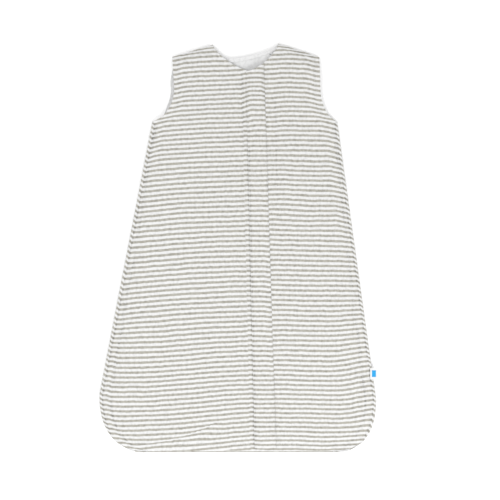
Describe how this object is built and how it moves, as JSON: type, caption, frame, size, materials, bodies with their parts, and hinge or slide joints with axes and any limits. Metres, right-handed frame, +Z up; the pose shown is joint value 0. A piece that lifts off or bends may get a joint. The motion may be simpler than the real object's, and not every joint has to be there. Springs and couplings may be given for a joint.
{
  "type": "baby sleeping bag",
  "caption": "Sleeveless striped muslin baby sleeping bag, flared and round-cornered, with a full-length front zip under a side-sewn flap, lying flat.",
  "frame": {"origin": "on the surface the bag lies on, under the middle of its outline", "axes": "+Y from the hem towards the neck, +X to the right seen from above with the neck at the top, +Z up out of the front"},
  "size_m": [0.502, 0.739, 0.0192],
  "materials": {
    "striped_muslin": "crinkled cotton muslin, white with grey-taupe stripes across",
    "white_lining": "plain white cotton",
    "thread": "white sewing thread",
    "zip_tape": "woven white tape",
    "zip_teeth": "moulded white plastic",
    "slider_metal": "nickel-plated zinc, satin",
    "label_ribbon": "white satin ribbon",
    "label_mark": "plain blue woven patch"
  },
  "bodies": {
    "bag": {"back_panel": "striped_muslin", "back_lining": "white_lining", "front_left_panel": "striped_muslin", "front_right_panel": "striped_muslin", "front_left_lining": "white_lining", "front_right_lining": "white_lining", "side_seam_left": "striped_muslin", "side_seam_right": "striped_muslin", "hem_seam": "striped_muslin", "shoulder_seam_left": "striped_muslin", "shoulder_seam_right": "striped_muslin", "back_neck_binding": "white_lining", "neck_label": "label_ribbon", "side_tag": "label_ribbon", "side_tag_patch": "label_mark", "armhole_stitching_left": "thread", "armhole_stitching_right": "thread", "side_stitching_left": "thread", "side_stitching_right": "thread", "zip_foot_tape": "zip_tape", "zip_bottom_stop": "zip_teeth", "zip_end_panel": "striped_muslin", "zip_end_lining": "white_lining", "zip_flap_foot": "striped_muslin", "zip_flap_foot_facing": "white_lining"},
    "left_front": {"front_left_lapel": "striped_muslin", "front_left_lapel_lining": "white_lining", "zip_tape_left": "zip_tape", "zip_teeth_left": "zip_teeth", "zip_top_stop_left": "zip_teeth", "neck_stitching_left": "thread", "placket_stitching": "thread"},
    "right_front": {"front_right_lapel": "striped_muslin", "front_right_lapel_lining": "white_lining", "zip_tape_right": "zip_tape", "zip_teeth_right": "zip_teeth", "zip_top_stop_right": "zip_teeth", "neck_stitching_right": "thread"},
    "flap": {"zip_flap": "striped_muslin", "zip_flap_facing": "white_lining", "flap_stitching": "thread", "flap_bartack": "thread"},
    "slider": {"zip_slider": "slider_metal", "slider_pin": "slider_metal"},
    "pull": {"zip_pull": "slider_metal"}
  },
  "joints": [
    {"name": "zip_slide", "type": "slide", "parent": "bag", "child": "slider", "axis": [0.0227, -0.9997, 0], "range_m": [0, 0.585]},
    {"name": "pull_swing", "type": "hinge", "parent": "slider", "child": "pull", "pos_m": [0.03477, 0.299, 0.0151], "axis": [-0.9997, -0.0227, 0], "range_deg": [0, 184], "deforming": ["zip_flap", "zip_flap_facing", "flap_stitching", "flap_bartack", "zip_flap_foot", "zip_flap_foot_facing"]},
    {"name": "left_front_open", "type": "hinge", "parent": "bag", "child": "left_front", "pos_m": [-0.046, 0.368, 0.0127], "axis": [0.1113, -0.9938, 0], "range_deg": [0, 120]},
    {"name": "right_front_open", "type": "hinge", "parent": "bag", "child": "right_front", "pos_m": [0.073, 0.37, 0.0127], "axis": [0.0266, 0.9996, 0], "range_deg": [0, 150]},
    {"name": "flap_fold", "type": "hinge", "parent": "left_front", "child": "flap", "pos_m": [0.015, 0.31056, 0.013], "axis": [0.0227, -0.9997, 0], "range_deg": [0, 65]}
  ],
  "couplings": [
    {"joint": "left_front_open", "follows": "zip_slide", "rad_per_m": 3.58},
    {"joint": "right_front_open", "follows": "zip_slide", "rad_per_m": 4.475}
  ]
}
